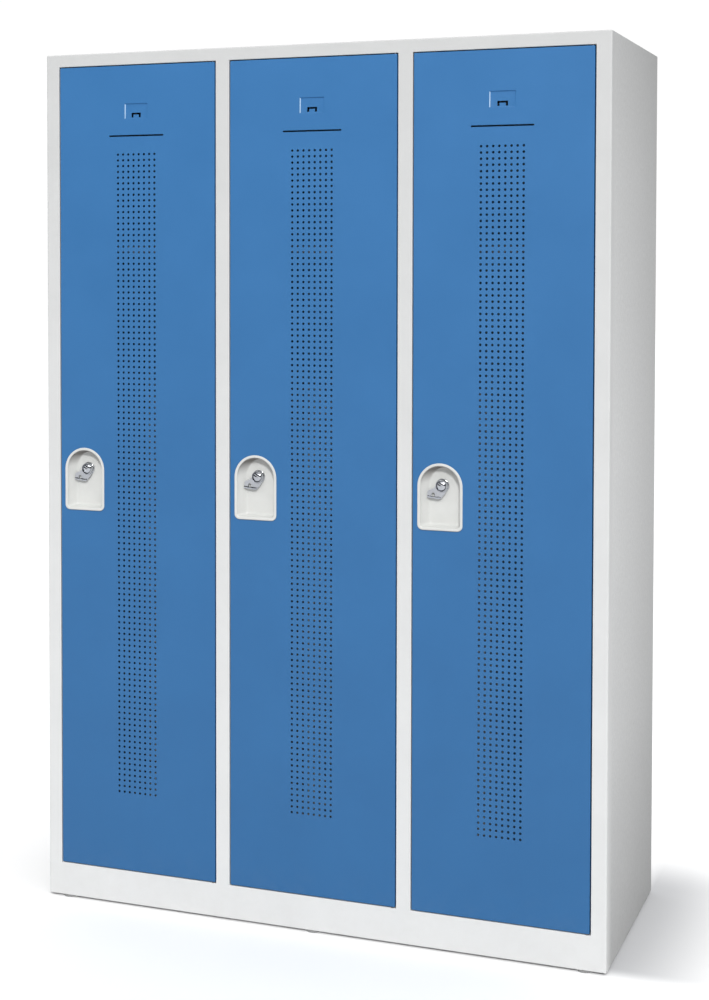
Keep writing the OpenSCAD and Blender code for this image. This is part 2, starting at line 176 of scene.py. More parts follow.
# Geometry Nodes: outlines filled to a flat sheet, with a field of round holes cut in it
def makeSheetTree():
    tree = bpy.data.node_groups.new("sheetWithHoles", "GeometryNodeTree")
    tree.interface.new_socket("Geometry", in_out="INPUT", socket_type="NodeSocketGeometry")
    ids = {}
    for label, kind in (("Columns", "Int"), ("Rows", "Int"), ("Pitch", "Float"), ("Hole radius", "Float"),
                        ("Field centre", "Vector"), ("Material", "Material")):
        socket = tree.interface.new_socket(label, in_out="INPUT", socket_type="NodeSocket" + kind)
        ids[label] = socket.identifier
    tree.interface.new_socket("Geometry", in_out="OUTPUT", socket_type="NodeSocketGeometry")
    node = tree.nodes.new
    link = tree.links.new
    given, result = node("NodeGroupInput"), node("NodeGroupOutput")
    outlines = node("GeometryNodeMeshToCurve")
    link(given.outputs["Geometry"], outlines.inputs["Mesh"])
    grid = node("GeometryNodeMeshGrid")
    for axis, count in (("X", "Columns"), ("Y", "Rows")):
        gaps = node("ShaderNodeMath")
        gaps.operation = "SUBTRACT"
        gaps.inputs[1].default_value = 1
        size = node("ShaderNodeMath")
        size.operation = "MULTIPLY"
        link(given.outputs[count], gaps.inputs[0])
        link(gaps.outputs[0], size.inputs[0])
        link(given.outputs["Pitch"], size.inputs[1])
        link(size.outputs[0], grid.inputs["Size " + axis])
        link(given.outputs[count], grid.inputs["Vertices " + axis])
    place = node("GeometryNodeTransform")
    link(grid.outputs["Mesh"], place.inputs["Geometry"])
    link(given.outputs["Field centre"], place.inputs["Translation"])
    hole = node("GeometryNodeCurvePrimitiveCircle")
    hole.inputs["Resolution"].default_value = 12
    link(given.outputs["Hole radius"], hole.inputs["Radius"])
    holes = node("GeometryNodeInstanceOnPoints")
    link(place.outputs["Geometry"], holes.inputs["Points"])
    link(hole.outputs["Curve"], holes.inputs["Instance"])
    real = node("GeometryNodeRealizeInstances")
    link(holes.outputs["Instances"], real.inputs["Geometry"])
    joined = node("GeometryNodeJoinGeometry")
    link(outlines.outputs["Curve"], joined.inputs["Geometry"])
    link(real.outputs["Geometry"], joined.inputs["Geometry"])
    fill = node("GeometryNodeFillCurve")
    fill.mode = "TRIANGLES"
    link(joined.outputs["Geometry"], fill.inputs["Curve"])
    upright = node("GeometryNodeTransform")
    upright.inputs["Rotation"].default_value = (math.pi / 2, 0, 0)
    link(fill.outputs["Mesh"], upright.inputs["Geometry"])
    whole = node("GeometryNodeRealizeInstances")
    link(upright.outputs["Geometry"], whole.inputs["Geometry"])
    paint = node("GeometryNodeSetMaterial")
    link(whole.outputs["Geometry"], paint.inputs["Geometry"])
    link(given.outputs["Material"], paint.inputs["Material"])
    link(paint.outputs["Geometry"], result.inputs["Geometry"])
    return tree, ids


sheetTree, sheetIds = makeSheetTree()


# Fills outlines and adds the sheet to a shape at the front face. An outline inside the first one is a
# hole, and one inside a hole is sheet again
def addSheet(shape, outlines, paint, columns=0, rows=0, pitch=0.012, radius=0.002, centre=(0, 0)):
    lines = bmesh.new()
    for outline in outlines:
        ring = [lines.verts.new((x, z, 0)) for x, z in outline]
        for k in range(len(ring)):
            lines.edges.new((ring[k], ring[(k + 1) % len(ring)]))
    piece = newPiece("sheetLines", meshFrom("sheetLines", lines))
    modifier = piece.modifiers.new("sheet", "NODES")
    modifier.node_group = sheetTree
    for label, value in (("Columns", columns), ("Rows", rows), ("Pitch", pitch),
                         ("Hole radius", radius), ("Field centre", (centre[0], centre[1], 0)),
                         ("Material", paint)):
        modifier[sheetIds[label]] = value
    mesh = applyModifiers(piece).data
    mesh.transform(Matrix.Translation((0, frontY, 0)))
    shape.from_mesh(mesh)
    bpy.data.objects.remove(piece)


def rgb(red, green, blue):
    return (red, green, blue, 1.0)


def clearNodes(material):
    material.use_nodes = True
    tree = material.node_tree
    tree.nodes.clear()
    output = tree.nodes.new("ShaderNodeOutputMaterial")
    shader = tree.nodes.new("ShaderNodeBsdfPrincipled")
    tree.links.new(shader.outputs["BSDF"], output.inputs["Surface"])
    coords = tree.nodes.new("ShaderNodeTexCoord")
    return tree, shader, coords.outputs["Object"]


def groupTree(name, inputs, outputs):
    tree = bpy.data.node_groups.new(name, "ShaderNodeTree")
    for label, kind, value in inputs:
        socket = tree.interface.new_socket(label, in_out="INPUT", socket_type=kind)
        if value is not None:
            socket.default_value = value
    for label, kind in outputs:
        tree.interface.new_socket(label, in_out="OUTPUT", socket_type=kind)
    return tree, tree.nodes.new("NodeGroupInput"), tree.nodes.new("NodeGroupOutput")


def noiseNode(tree, vector, scale, detail=2.0, roughness=0.5):
    noise = tree.nodes.new("ShaderNodeTexNoise")
    noise.inputs["Detail"].default_value = detail
    noise.inputs["Roughness"].default_value = roughness
    tree.links.new(vector, noise.inputs["Vector"])
    if isinstance(scale, (int, float)):
        noise.inputs["Scale"].default_value = scale
    else:
        tree.links.new(scale, noise.inputs["Scale"])
    return noise.outputs["Fac"]


def remap(tree, value, low0, high0, low1, high1):
    node = tree.nodes.new("ShaderNodeMapRange")
    for socket, number in zip(("From Min", "From Max", "To Min", "To Max"), (low0, high0, low1, high1)):
        if isinstance(number, (int, float)):
            node.inputs[socket].default_value = number
        else:
            tree.links.new(number, node.inputs[socket])
    tree.links.new(value, node.inputs["Value"])
    return node.outputs["Result"]


def mathNode(tree, operation, a, b=None):
    node = tree.nodes.new("ShaderNodeMath")
    node.operation = operation
    for k, value in enumerate((a, b)):
        if value is None:
            continue
        if isinstance(value, (int, float)):
            node.inputs[k].default_value = value
        else:
            tree.links.new(value, node.inputs[k])
    return node.outputs[0]


def times(tree, a, b):
    return mathNode(tree, "MULTIPLY", a, b)


def plus(tree, a, b):
    return mathNode(tree, "ADD", a, b)


def minus(tree, a, b):
    return mathNode(tree, "SUBTRACT", a, b)


def mixColour(tree, factor, a, b):
    node = tree.nodes.new("ShaderNodeMix")
    node.data_type = "RGBA"
    for socket, value in ((node.inputs[0], factor), (node.inputs[6], a), (node.inputs[7], b)):
        if isinstance(value, (int, float, tuple)):
            socket.default_value = value
        else:
            tree.links.new(value, socket)
    return node.outputs[2]


surfaceOutputs = (("Colour", "NodeSocketColor"), ("Roughness", "NodeSocketFloat"),
                  ("Normal", "NodeSocketVector"))


# Bump from a height, sent to a group's normal
def addBump(tree, height, strength, distance, result):
    bump = tree.nodes.new("ShaderNodeBump")
    bump.inputs["Distance"].default_value = distance
    tree.links.new(strength, bump.inputs["Strength"])
    tree.links.new(height, bump.inputs["Height"])
    tree.links.new(bump.outputs["Normal"], result.inputs["Normal"])


# Where painted light and shade fall on the coat: the front zone in depth, the flanks in width, and heights,
# in metres; and the dust colour
coatLightAndDust = {
    "frontFrom": -0.242, "frontTo": -0.20, "flankFrom": 0.5975, "flankTo": 0.5990, "dustHeight": 0.16,
    "paintedLightFoot": 0.05, "paintedLightHead": 1.8, "flankMiddle": 0.95, "flankFootHeight": 0.45,
    "flankNearY": -0.24, "flankFarY": 0.25, "dust": (0.43, 0.41, 0.38),
}


# Powder coat: a fine orange peel, cloudy tone, a little dust near the floor, a painted edge highlight, and
# painted light and shade on the front and the flanks
def makePowderCoat():
    c = coatLightAndDust
    tree, given, result = groupTree("powderCoat", (
        ("Vector", "NodeSocketVector", None), ("Colour", "NodeSocketColor", (0.8, 0.8, 0.8, 1)),
        ("Shade", "NodeSocketColor", (0.7, 0.7, 0.7, 1)), ("Cloud scale", "NodeSocketFloat", 6.0),
        ("Peel scale", "NodeSocketFloat", 520.0), ("Peel", "NodeSocketFloat", 0.12),
        ("Gloss low", "NodeSocketFloat", 0.36), ("Gloss high", "NodeSocketFloat", 0.46),
        ("Painted highlight", "NodeSocketFloat", 0.0), ("Highlight colour", "NodeSocketColor", (0.8, 0.8, 0.8, 1)),
        ("Dust", "NodeSocketFloat", 0.25), ("Painted foot light", "NodeSocketFloat", 1.0),
        ("Painted head light", "NodeSocketFloat", 1.0), ("Flank shade", "NodeSocketFloat", 1.0),
        ("Flank", "NodeSocketFloat", 0.0)), surfaceOutputs)
    vector = given.outputs["Vector"]
    cloud = noiseNode(tree, vector, given.outputs["Cloud scale"], 5.0, 0.62)
    speck = noiseNode(tree, vector, 900.0, 1.0)
    tone = plus(tree, times(tree, cloud, 0.75), times(tree, speck, 0.25))
    colour = mixColour(tree, remap(tree, tone, 0.36, 0.66, 0.0, 1.0), given.outputs["Shade"],
                       given.outputs["Colour"])
    split = tree.nodes.new("ShaderNodeSeparateXYZ")
    tree.links.new(vector, split.inputs[0])
    across, deep, height = (split.outputs[axis] for axis in "XYZ")
    floorMask = remap(tree, height, 0.0, c["dustHeight"], 1.0, 0.0)
    smear = remap(tree, noiseNode(tree, vector, 34.0, 6.0, 0.7), 0.45, 0.75, 0.0, 1.0)
    dust = times(tree, times(tree, floorMask, smear), given.outputs["Dust"])
    colour = mixColour(tree, dust, colour, rgb(*c["dust"]))
    # painted highlight: a lighter colour on chosen edges
    colour = mixColour(tree, given.outputs["Painted highlight"], colour, given.outputs["Highlight colour"])
    # painted light and shade: the front runs from its foot brightness to its head brightness
    paintedLight = remap(tree, height, c["paintedLightFoot"], c["paintedLightHead"], given.outputs["Painted foot light"],
                  given.outputs["Painted head light"])
    facing = remap(tree, deep, c["frontFrom"], c["frontTo"], 1.0, 0.0)
    level = plus(tree, 1.0, times(tree, facing, minus(tree, paintedLight, 1.0)))
    # painted shade: the flanks darken to the rear, the foot and the ends, with a coarser grit
    flank = remap(tree, mathNode(tree, "ABSOLUTE", across), c["flankFrom"], c["flankTo"], 0.0, 1.0)
    flank = times(tree, flank, minus(tree, 1.0, facing))
    middle = mathNode(tree, "ABSOLUTE", minus(tree, height, c["flankMiddle"]))
    grit = plus(tree, noiseNode(tree, vector, 300.0, 3.0, 0.7), noiseNode(tree, vector, 110.0, 3.0, 0.6))
    flankShade = times(tree, given.outputs["Flank shade"], remap(tree, middle, 0.1, 0.95, 1.08, 0.90))
    flankShade = times(tree, flankShade, remap(tree, grit, 0.7, 1.3, 0.91, 1.08))
    flankShade = times(tree, flankShade, remap(tree, deep, c["flankNearY"], c["flankFarY"], 1.16, 0.82))
    flankShade = times(tree, flankShade, remap(tree, height, 0.0, c["flankFootHeight"], 0.76, 1.0))
    flankShade = times(tree, flank, minus(tree, flankShade, 1.0))
    level = plus(tree, level, times(tree, flankShade, given.outputs["Flank"]))
    scaled = tree.nodes.new("ShaderNodeVectorMath")
    scaled.operation = "SCALE"
    tree.links.new(colour, scaled.inputs[0])
    tree.links.new(level, scaled.inputs["Scale"])
    tree.links.new(scaled.outputs[0], result.inputs["Colour"])
    rough = remap(tree, cloud, 0.3, 0.7, given.outputs["Gloss low"], given.outputs["Gloss high"])
    tree.links.new(plus(tree, rough, times(tree, dust, 0.3)), result.inputs["Roughness"])
    peel = noiseNode(tree, vector, given.outputs["Peel scale"], 3.0, 0.55)
    addBump(tree, peel, given.outputs["Peel"], 0.0004, result)
    return tree


# Painted shade: surfaces with others nearer than the gap, in metres, darken to its shade colour; scratches
# are stretched noise
platingLook = {
    "gap": 0.006, "gapShade": (0.02, 0.022, 0.028), "scratchScale": (60.0, 60.0, 2200.0),
    "scratchTurn": (0.5, 0.3, 0.2),
}


# Plated metal: fine scratches, a soft tarnish, and painted shade in narrow gaps
def makePlating():
    p = platingLook
    tree, given, result = groupTree("plating", (
        ("Vector", "NodeSocketVector", None), ("Colour", "NodeSocketColor", (0.8, 0.8, 0.8, 1)),
        ("Tarnish", "NodeSocketColor", (0.6, 0.6, 0.6, 1)), ("Spangle scale", "NodeSocketFloat", 120.0),
        ("Gloss low", "NodeSocketFloat", 0.1), ("Gloss high", "NodeSocketFloat", 0.3),
        ("Scratch", "NodeSocketFloat", 0.1)), surfaceOutputs)
    vector = given.outputs["Vector"]
    cells = tree.nodes.new("ShaderNodeTexVoronoi")
    tree.links.new(vector, cells.inputs["Vector"])
    tree.links.new(given.outputs["Spangle scale"], cells.inputs["Scale"])
    split = tree.nodes.new("ShaderNodeSeparateColor")
    tree.links.new(cells.outputs["Color"], split.inputs[0])
    cloud = noiseNode(tree, vector, 60.0, 4.0, 0.6)
    tone = times(tree, plus(tree, split.outputs[0], cloud), 0.5)
    plated = mixColour(tree, tone, given.outputs["Tarnish"], given.outputs["Colour"])
    # painted shade where other surfaces are close
    crevice = tree.nodes.new("ShaderNodeAmbientOcclusion")
    crevice.samples = 8
    crevice.inputs["Distance"].default_value = p["gap"]
    openness = remap(tree, crevice.outputs["AO"], 0.35, 0.8, 0.12, 1.0)
    tree.links.new(mixColour(tree, openness, rgb(*p["gapShade"]), plated), result.inputs["Colour"])
    tree.links.new(remap(tree, tone, 0.2, 0.8, given.outputs["Gloss low"], given.outputs["Gloss high"]),
                   result.inputs["Roughness"])
    stretch = tree.nodes.new("ShaderNodeMapping")
    stretch.inputs["Scale"].default_value = p["scratchScale"]
    stretch.inputs["Rotation"].default_value = p["scratchTurn"]
    tree.links.new(vector, stretch.inputs["Vector"])
    lines = noiseNode(tree, stretch.outputs["Vector"], 1.0, 2.0)
    addBump(tree, lines, given.outputs["Scratch"], 0.0001, result)
    return tree


# Moulded plastic or rubber: a fine eroded texture, and shade on faces that look down
def makeMoulding():
    tree, given, result = groupTree("moulding", (
        ("Vector", "NodeSocketVector", None), ("Colour", "NodeSocketColor", (0.8, 0.8, 0.8, 1)),
        ("Shade", "NodeSocketColor", (0.7, 0.7, 0.7, 1)), ("Grain scale", "NodeSocketFloat", 1400.0),
        ("Grain", "NodeSocketFloat", 0.15), ("Gloss low", "NodeSocketFloat", 0.35),
        ("Gloss high", "NodeSocketFloat", 0.5), ("Underside", "NodeSocketFloat", 0.0)), surfaceOutputs)
    vector = given.outputs["Vector"]
    facing = tree.nodes.new("ShaderNodeSeparateXYZ")
    tree.links.new(tree.nodes.new("ShaderNodeNewGeometry").outputs["Normal"], facing.inputs[0])
    below = times(tree, remap(tree, facing.outputs["Z"], -0.75, -0.1, 1.0, 0.0),
                  given.outputs["Underside"])
    flow = noiseNode(tree, vector, 22.0, 5.0, 0.6)
    grain = noiseNode(tree, vector, given.outputs["Grain scale"], 2.0)
    tone = plus(tree, times(tree, flow, 0.8), times(tree, grain, 0.2))
    colour = mixColour(tree, remap(tree, tone, 0.35, 0.65, 0.0, 1.0), given.outputs["Shade"],
                       given.outputs["Colour"])
    tree.links.new(mixColour(tree, below, colour, rgb(0.09, 0.07, 0.06)), result.inputs["Colour"])
    tree.links.new(remap(tree, flow, 0.3, 0.7, given.outputs["Gloss low"], given.outputs["Gloss high"]),
                   result.inputs["Roughness"])
    addBump(tree, grain, given.outputs["Grain"], 0.0002, result)
    return tree


finishGroups = {"powder": makePowderCoat(), "plating": makePlating(), "moulding": makeMoulding()}


# A material from one of the groups; fixed holds constants for the shader's own sockets
def finish(name, group, values, fixed):
    material = bpy.data.materials.new(name)
    tree, shader, place = clearNodes(material)
    made = tree.nodes.new("ShaderNodeGroup")
    made.node_tree = finishGroups[group]
    tree.links.new(place, made.inputs["Vector"])
    for label, value in values.items():
        made.inputs[label].default_value = value
    for label, target in (("Colour", "Base Color"), ("Roughness", "Roughness"), ("Normal", "Normal")):
        tree.links.new(made.outputs[label], shader.inputs[target])
    for label, value in fixed.items():
        shader.inputs[label].default_value = value
    return material


materials = {
    "cabinet_paint": finish("greyPowderCoat", "powder", {
        "Colour": rgb(0.65, 0.655, 0.65), "Shade": rgb(0.62, 0.625, 0.62), "Cloud scale": 9.0, "Peel": 0.10,
        "Gloss low": 0.42, "Gloss high": 0.52, "Dust": 0.12,
        "Painted foot light": 1.09, "Painted head light": 0.88, "Flank shade": 0.84, "Flank": 1.0},
        {"Specular IOR Level": 0.4}),
    "door_paint": finish("bluePowderCoat", "powder", {
        "Colour": rgb(0.033, 0.163, 0.392), "Shade": rgb(0.0305, 0.151, 0.366), "Cloud scale": 5.0,
        "Peel": 0.10, "Gloss low": 0.40, "Gloss high": 0.50, "Dust": 0.06,
        "Painted foot light": 0.80, "Painted head light": 1.0}, {"Specular IOR Level": 0.4}),
    "handle_plastic": finish("handlePlastic", "moulding", {
        "Colour": rgb(0.64, 0.645, 0.625), "Shade": rgb(0.60, 0.605, 0.585), "Grain": 0.10,
        "Gloss low": 0.34, "Gloss high": 0.46, "Underside": 0.8}, {"Specular IOR Level": 0.5}),
    "latch_chrome": finish("latchChrome", "plating", {
        "Colour": rgb(0.68, 0.70, 0.74), "Tarnish": rgb(0.56, 0.58, 0.62), "Spangle scale": 40.0,
        "Gloss low": 0.04, "Gloss high": 0.09, "Scratch": 0.05}, {"Metallic": 1.0}),
    "zinc_steel": finish("zincPlate", "plating", {
        "Colour": rgb(0.66, 0.67, 0.69), "Tarnish": rgb(0.52, 0.53, 0.54), "Spangle scale": 160.0,
        "Gloss low": 0.26, "Gloss high": 0.44, "Scratch": 0.2}, {"Metallic": 1.0}),
    "buffer_rubber": finish("bufferRubber", "moulding", {
        "Colour": rgb(0.030, 0.030, 0.031), "Shade": rgb(0.022, 0.022, 0.022), "Grain": 0.3,
        "Gloss low": 0.6, "Gloss high": 0.8}, {"Specular IOR Level": 0.3}),
    "glide_plastic": finish("glidePlastic", "moulding", {
        "Colour": rgb(0.30, 0.30, 0.30), "Shade": rgb(0.24, 0.24, 0.24), "Grain": 0.25,
        "Gloss low": 0.45, "Gloss high": 0.6}, {"Specular IOR Level": 0.4}),
    "washer_nylon": finish("washerNylon", "moulding", {
        "Colour": rgb(0.12, 0.12, 0.125), "Shade": rgb(0.09, 0.09, 0.095), "Grain": 0.1,
        "Gloss low": 0.35, "Gloss high": 0.5}, {"Specular IOR Level": 0.5}),
}
# painted highlight: pressed edges of the doors get a lighter colour where light catches them
doorTree = materials["door_paint"].node_tree
highlightMask = doorTree.nodes.new("ShaderNodeAttribute")
highlightMask.attribute_name = "paintedEdgeHighlight"
doorGroup = next(node for node in doorTree.nodes if node.bl_idname == "ShaderNodeGroup")
doorGroup.inputs["Highlight colour"].default_value = rgb(0.46, 0.62, 0.80)
doorTree.links.new(highlightMask.outputs["Fac"], doorGroup.inputs["Painted highlight"])
print("finishes made:", len(materials))

for entry in frame["record"]["subparts"]:
    node = frame["nodes"][entry["node"]]
    node.data.materials.clear()
    node.data.materials.append(materials[entry["material_slot"]])


# Gives a piece the paint of its record slot and its body, and hides the nodes it stands for
def fitPiece(piece, slot, body, nodes):
    piece.data.materials.clear()
    piece.data.materials.append(materials[slot])
    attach(piece, body)
    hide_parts(*nodes)


# Millimetres, with whole numbers for counts and for the percentage of the painted edge highlight
doorSizes = {
    "foldRadius": 1.6, "flange": 13.0, "sheet": 1.0, "cornerRadius": 1.8,
    "labelWidth": 52.0, "labelHeight": 33.0, "labelDrop": 79.0, "labelWall": 1.6, "labelHighlight": 85,
    "labelDepthTop": 2.3, "labelDepthFoot": 0.5, "labelCorner": 1.2, "labelFloorCorner": 0.8,
    "leastCorner": 0.3, "tabWidth": 21.0, "tabHeight": 9.6, "tabLeg": 4.4, "tabDrop": 19.5,
    "slotWidth": 125.0, "slotHeight": 3.3, "slotDrop": 146.0,
    "holePitch": 12.0, "holeRadius": 2.5, "holeColumns": 8, "holeRows": 113, "fieldDrop": 185.0,
}
handleSizes = {
    "width": 92.0, "height": 133.0, "foot": 836.0, "edge": 10.0, "corner": 11.0, "cutMargin": 5.5,
    "leftRamp": 12.0, "rampFrom": 2.0, "depth": 18.0, "wall": 1.8, "leastCorner": 3.0,
}
# margin from the outline, depth behind the door's face, extra rise of the lower edge
handleProfile = (
    (0.35, -0.02, 0), (0.0, -0.5, 0), (0.1, -1.1, 0), (0.6, -1.65, 0), (1.4, -1.95, 0), (2.4, -2.0, 0),
    (4.3, -1.9, 0), (5.3, -1.55, 0), (5.9, -0.9, 0), (6.2, 0.1, 0.0), (6.4, 3.0, 0.3), (6.7, 7.5, 0.8),
    (7.0, 12.0, 1.4), (7.4, 15.2, 2.0), (8.0, 16.9, 2.7), (9.1, 17.8, 3.8), (10.8, 18.0, 5.0),
)


# Rings of a rounded edge, from a flat face out to the full outline
def edgeRings(outlineAt, radius, steps=4):
    rings = []
    for k in range(steps + 1):
        turn = math.pi / 2 * k / steps
        rings.append((outlineAt(radius * (1 - math.sin(turn))), radius * (1 - math.cos(turn))))
    return rings


# Rings of a fold: round an edge, then back, then round to the inner flange
def foldRings(outlineAt, radius, depth, flange, steps=4):
    rings = edgeRings(outlineAt, radius, steps)
    for k in range(steps + 1):
        turn = math.pi / 2 * k / steps
        rings.append((outlineAt(radius * (1 - math.cos(turn))), depth - radius + radius * math.sin(turn)))
    rings.append((outlineAt(flange), depth))
    return rings


def makeDoorMesh(side):
    s, h = inMetres(doorSizes), inMetres(handleSizes)
    a, b = doorBoxes[side]
    centre = (a.x + b.x) / 2
    shape = bmesh.new()

    def edgeOutline(inset):
        return roundedBox(a.x + inset, a.z + inset, b.x - inset, b.z - inset,
                          max(s["cornerRadius"] - inset, s["leastCorner"]))

    rings = foldRings(edgeOutline, s["foldRadius"], doorDepth, s["flange"])
    bridge(shape, [addLoop(shape, outline, y) for outline, y in rings])

    top = b.z - s["labelDrop"]
    foot = top - s["labelHeight"]
    wall = s["labelWall"]
    labelLeft, labelRight = centre - s["labelWidth"] / 2, centre + s["labelWidth"] / 2
    labelEdge = roundedBox(labelLeft, foot, labelRight, top, s["labelCorner"])
    labelFloor = roundedBox(labelLeft + wall, foot + wall, labelRight - wall, top - wall,
                            s["labelFloorCorner"])

    def floorDepth(z):
        share = min(max((z - foot) / (top - foot), 0), 1)
        return s["labelDepthFoot"] + (s["labelDepthTop"] - s["labelDepthFoot"]) * share

    edgeRing = addLoop(shape, labelEdge, 0)
    floorRing = [shape.verts.new((x, frontY + floorDepth(z), z)) for x, z in labelFloor]
    bridge(shape, [edgeRing, floorRing])

    tabTop = top - s["tabDrop"]
    half, leg, tabFoot = s["tabWidth"] / 2, s["tabLeg"], tabTop - s["tabHeight"]
    left, right, notchTop = centre - half, centre + half, tabTop - leg * 0.85
    tab = [(left, tabFoot), (left + leg, tabFoot), (left + leg, notchTop), (right - leg, notchTop),
           (right - leg, tabFoot), (right, tabFoot), (right, tabTop), (left, tabTop)]
    handleX = a.x + h["edge"] + h["width"] / 2
    margin = h["cutMargin"]
    handleCut = archOutline(handleX, h["foot"] + margin, h["foot"] + h["height"] - margin,
                            h["width"] - 2 * margin, h["corner"] - margin)
    letterSlot = slotOutline(centre, b.z - s["slotDrop"], s["slotWidth"], s["slotHeight"])
    fieldMiddle = b.z - s["fieldDrop"] - (s["holeRows"] - 1) * s["holePitch"] / 2
    flat = bmesh.new()
    addSheet(flat, [rings[0][0], labelEdge, labelFloor, tab, handleCut, letterSlot],
             materials["door_paint"], s["holeColumns"], s["holeRows"], s["holePitch"], s["holeRadius"],
             (centre, fieldMiddle))
    for vert in flat.verts:
        inWidth = labelLeft + wall / 2 < vert.co.x < labelRight - wall / 2
        if inWidth and foot + wall / 2 < vert.co.z < top - wall / 2:
            vert.co.y = frontY + floorDepth(vert.co.z)
    shape.from_mesh(meshFrom("doorFront", flat))
    tidyFaces(shape, 4e-6)
    mesh = meshFrom("door", shape)
    # painted highlight: faces of the label's left wall get the lighter colour
    highlight = mesh.attributes.new("paintedEdgeHighlight", "FLOAT", "FACE")
    for face in mesh.polygons:
        spot = face.center
        pressed = labelLeft < spot.x < labelLeft + wall and foot + 2 * wall < spot.z < top - wall
        highlight.data[face.index].value = s["labelHighlight"] / 100 if pressed and abs(face.normal.x) > 0.2 else 0.0
    return mesh


doorMesh = makeDoorMesh("left")
for side in sideNames:
    mesh = doorMesh.copy()
    mesh.transform(Matrix.Translation((doorBoxes[side][0].x - doorBoxes["left"][0].x, 0, 0)))
    door = newPiece("doorSheet_" + side, mesh)
    thicken(door, doorSizes["sheet"] * mm)
    smoothPiece(door)
    fitPiece(door, "door_paint", "door_" + side, ["door_panel_" + side])
print("doors made:", len(door.data.polygons), "faces each")


# Recess handle, whose left wall is a longer ramp than the others
def makeHandleMesh(side):
    h = inMetres(handleSizes)
    cx = doorBoxes[side][0].x + h["edge"] + h["width"] / 2
    z0, z1 = h["foot"], h["foot"] + h["height"]
    shape = bmesh.new()
    loops = []
    for step in handleProfile:
        inset, depth, rise = (value * mm for value in step)
        outline = archOutline(cx, z0 + inset + rise, z1 - inset, h["width"] - 2 * inset,
                              max(h["corner"] - inset * 0.75, h["leastCorner"]))
        if depth > h["rampFrom"]:
            slide = h["leftRamp"] * (depth - h["rampFrom"]) / (h["depth"] - h["rampFrom"])
            rightEdge = cx + h["width"] / 2 - inset
            outline = [(x + slide * (rightEdge - x) / (h["width"] - 2 * inset), z) for x, z in outline]
        loops.append(addLoop(shape, outline, depth))
    bridge(shape, loops)
    shape.faces.new(loops[-1])
    bmesh.ops.recalc_face_normals(shape, faces=shape.faces)
    floor = max(shape.faces, key=lambda f: f.calc_area())
    if floor.normal.y > 0:
        bmesh.ops.reverse_faces(shape, faces=shape.faces)
    return meshFrom("handle", shape)


for side in sideNames:
    handle = newPiece("handleShell_" + side, makeHandleMesh(side))
    thicken(handle, handleSizes["wall"] * mm)
    smoothPiece(handle, 50)
    fitPiece(handle, "handle_plastic", "door_" + side, ["handle_shell_" + side])
print("handles made")


# Front frame, welded and painted as one
frameSizes = {
    "foldRadius": 3.0, "cornerRadius": 2.2, "leastCorner": 0.3, "flange": 9.0, "sheet": 1.0,
    "openingRadius": 1.2, "openingCorner": 0.5, "lipDepth": 22.0, "lip": 10.0, "lipBend": 0.6,
    "lipCorner": 0.4,
}
doorGaps = {"lock": 2.0, "hinge": 2.5, "ends": 2.0}


# Rings of one door opening: round the edge, back to the stop lip, and inwards along it
def openingRings(side, s, g):
    a, b = doorBoxes[side]
    left, right, foot, top = a.x - g["lock"], b.x + g["hinge"], a.z - g["ends"], b.z + g["ends"]

    def openingOutline(grow):
        return roundedBox(left - grow, foot - grow, right + grow, top + grow, s["openingCorner"] + grow)

    def lipOutline(inset):
        return roundedBox(left + inset, foot + inset, right - inset, top - inset, s["lipCorner"])

    return edgeRings(openingOutline, s["openingRadius"]) + [
        (openingOutline(0), s["lipDepth"] - s["lipBend"]), (lipOutline(s["lipBend"]), s["lipDepth"]),
        (lipOutline(s["lip"]), s["lipDepth"])]


def makeFrameMesh():
    s, g = inMetres(frameSizes), inMetres(doorGaps)
    x0, x1 = lowCorner.x, highCorner.x
    z0, z1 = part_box("plinth")[0].z, highCorner.z
    shape = bmesh.new()

    def caseOutline(inset):
        return roundedBox(x0 + inset, z0 + inset, x1 - inset, z1 - inset,
                          max(s["cornerRadius"] - inset, s["leastCorner"]))

    case = edgeRings(caseOutline, s["foldRadius"], 6) + [(caseOutline(0), s["flange"])]
    openings = [openingRings(side, s, g) for side in sideNames]
    for rings in [case] + openings:
        bridge(shape, [addLoop(shape, outline, y) for outline, y in rings])
    flat = bmesh.new()
    addSheet(flat, [case[0][0]] + [rings[0][0] for rings in openings], materials["cabinet_paint"])
    shape.from_mesh(meshFrom("frameFront", flat))
    tidyFaces(shape, 4e-6)
    return meshFrom("frame", shape)


frontFrame = newPiece("frontFrame", makeFrameMesh())
thicken(frontFrame, frameSizes["sheet"] * mm)
smoothPiece(frontFrame)
fitPiece(frontFrame, "cabinet_paint", "carcass",
         ["stile_left", "stile_right", "mullion_left", "mullion_right", "top_rail", "plinth"])
print("front frame made")


# Radii, lengths and depths in millimetres, angles in degrees from the right
lockSizes = {
    "capRadius": 12.0, "dome": 9.1, "domeTop": 6.3, "domeSag": 2.7, "rivet": 1.7, "rivetRise": 0.7,
    "bendAt": 21.4, "bendRadius": 1.4, "bendTurn": 70.0, "plate": 2.6, "plateEdge": 0.6, "armDepth": 10.6,
    "eyeAt": 24.0, "eyeRadius": 3.5, "angle": 225.0, "footAngle": 264.0,
}
# radius and depth behind the door's face
rosetteProfile = (
    (0, 18), (14.0, 18.0), (14.0, 16.9), (13.7, 16.2), (12.9, 15.7), (12.3, 15.6), (12.0, 15.95),
    (11.6, 15.95), (11.3, 15.4), (10.9, 14.6), (10.0, 14.1), (9.0, 14.0), (0, 14.0),
)
# the same for the lever's shaft and the back of its cap
shaftProfile = ((0, 29.5), (5.4, 29.5), (6.0, 28.9), (6.0, 13.6))
